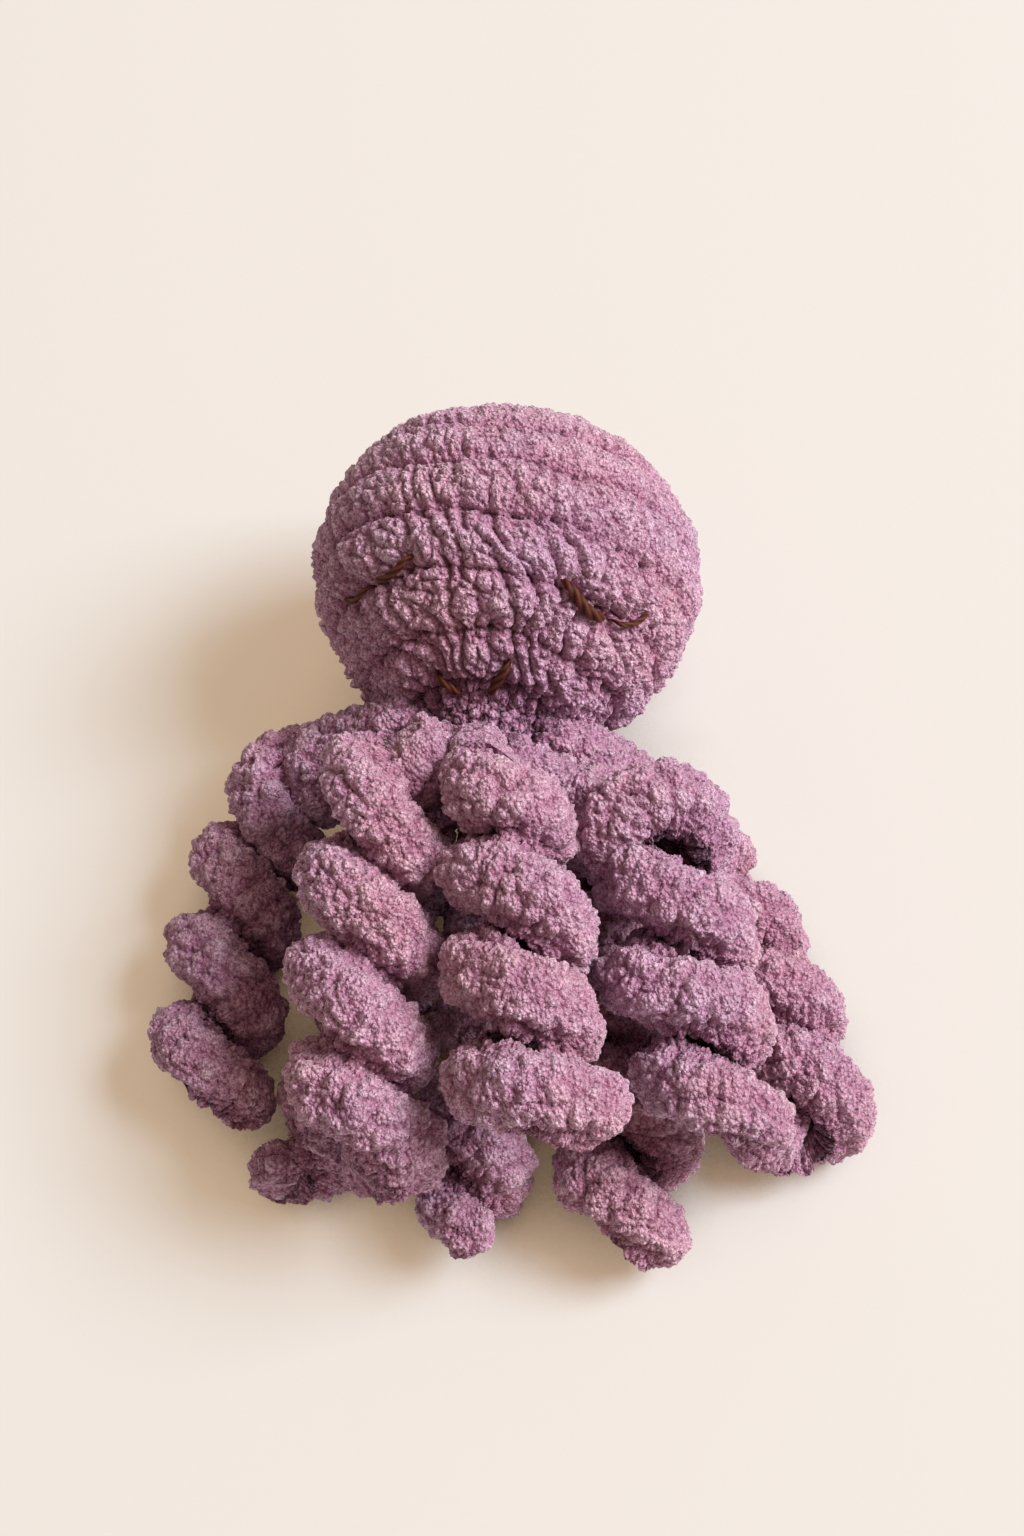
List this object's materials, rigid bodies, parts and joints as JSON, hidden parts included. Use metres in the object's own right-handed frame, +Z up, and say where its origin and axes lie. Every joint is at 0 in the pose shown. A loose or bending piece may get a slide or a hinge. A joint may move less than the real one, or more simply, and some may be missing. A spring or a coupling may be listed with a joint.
{
  "type": "plush octopus",
  "caption": "Crocheted chenille toy octopus lying on its back: a stuffed ball head with a stitched sleepy face and soft tentacles that curl into corkscrews and swing at the neck.",
  "frame": {"origin": "on the surface that the toy lies on, under the middle of its outline", "axes": "+Z up, the way the face looks; +Y towards the crown of the head; +X towards the toy's side that the picture shows on the right"},
  "size_m": [0.1382, 0.1678, 0.0774],
  "materials": {
    "chenille_yarn": "fluffy chenille",
    "fibre_filling": "loose fibre",
    "brown_thread": "matt twisted thread"
  },
  "bodies": {
    "head": {"head_cover": "chenille_yarn", "head_stuffing": "fibre_filling", "neck_collar": "chenille_yarn", "closing_yarn": "chenille_yarn", "closing_yarn_tail": "chenille_yarn", "left_eye_long_stitch": "brown_thread", "left_eye_short_stitch": "brown_thread", "right_eye_long_stitch": "brown_thread", "right_eye_short_stitch": "brown_thread", "mouth_left_stitch": "brown_thread", "mouth_right_stitch": "brown_thread", "face_thread_knot": "brown_thread", "tentacle_1_root": "chenille_yarn", "tentacle_2_root": "chenille_yarn", "tentacle_3_root": "chenille_yarn", "tentacle_4_root": "chenille_yarn", "tentacle_5_root": "chenille_yarn", "tentacle_6_root": "chenille_yarn", "tentacle_7_root": "chenille_yarn", "tentacle_8_root": "chenille_yarn"},
    "tentacle_1": {"tentacle_1": "chenille_yarn"},
    "tentacle_2": {"tentacle_2": "chenille_yarn"},
    "tentacle_3": {"tentacle_3": "chenille_yarn"},
    "tentacle_4": {"tentacle_4": "chenille_yarn"},
    "tentacle_5": {"tentacle_5": "chenille_yarn"},
    "tentacle_6": {"tentacle_6": "chenille_yarn"},
    "tentacle_7": {"tentacle_7": "chenille_yarn"},
    "tentacle_8": {"tentacle_8": "chenille_yarn"}
  },
  "joints": [
    {"name": "tentacle_1_swing", "type": "hinge", "parent": "head", "child": "tentacle_1", "pos_m": [-0.01953, 0.01724, 0.03849], "axis": [0, 0.7071, -0.7071], "range_deg": [0, 30], "deforming": ["tentacle_1_root"]},
    {"name": "tentacle_2_swing", "type": "hinge", "parent": "head", "child": "tentacle_2", "pos_m": [-0.01307, 0.00703, 0.04559], "axis": [-0.8, 0, -0.6], "range_deg": [0, 45], "deforming": ["tentacle_2_root"]},
    {"name": "tentacle_3_swing", "type": "hinge", "parent": "head", "child": "tentacle_3", "pos_m": [-0.00601, 0.00612, 0.04854], "axis": [-1, 0, 0], "range_deg": [0, 45], "deforming": ["tentacle_3_root"]},
    {"name": "tentacle_4_swing", "type": "hinge", "parent": "head", "child": "tentacle_4", "pos_m": [0.00157, 0.00521, 0.04493], "axis": [-0.8, 0, 0.6], "range_deg": [0, 45], "deforming": ["tentacle_4_root"]},
    {"name": "tentacle_5_swing", "type": "hinge", "parent": "head", "child": "tentacle_5", "pos_m": [0.00984, 0.01347, 0.0385], "axis": [0, -0.7071, 0.7071], "range_deg": [0, 30], "deforming": ["tentacle_5_root"]},
    {"name": "tentacle_6_swing", "type": "hinge", "parent": "head", "child": "tentacle_6", "pos_m": [-0.01304, 0.00705, 0.03141], "axis": [-1, 0, 0], "range_deg": [-15, 0], "deforming": ["tentacle_6_root"]},
    {"name": "tentacle_7_swing", "type": "hinge", "parent": "head", "child": "tentacle_7", "pos_m": [-0.00601, 0.00615, 0.02848], "axis": [-1, 0, 0], "range_deg": [-15, 0], "deforming": ["tentacle_7_root"]},
    {"name": "tentacle_8_swing", "type": "hinge", "parent": "head", "child": "tentacle_8", "pos_m": [0.001, 0.00527, 0.03143], "axis": [-1, 0, 0], "range_deg": [-12, 0], "deforming": ["tentacle_8_root"]}
  ]
}
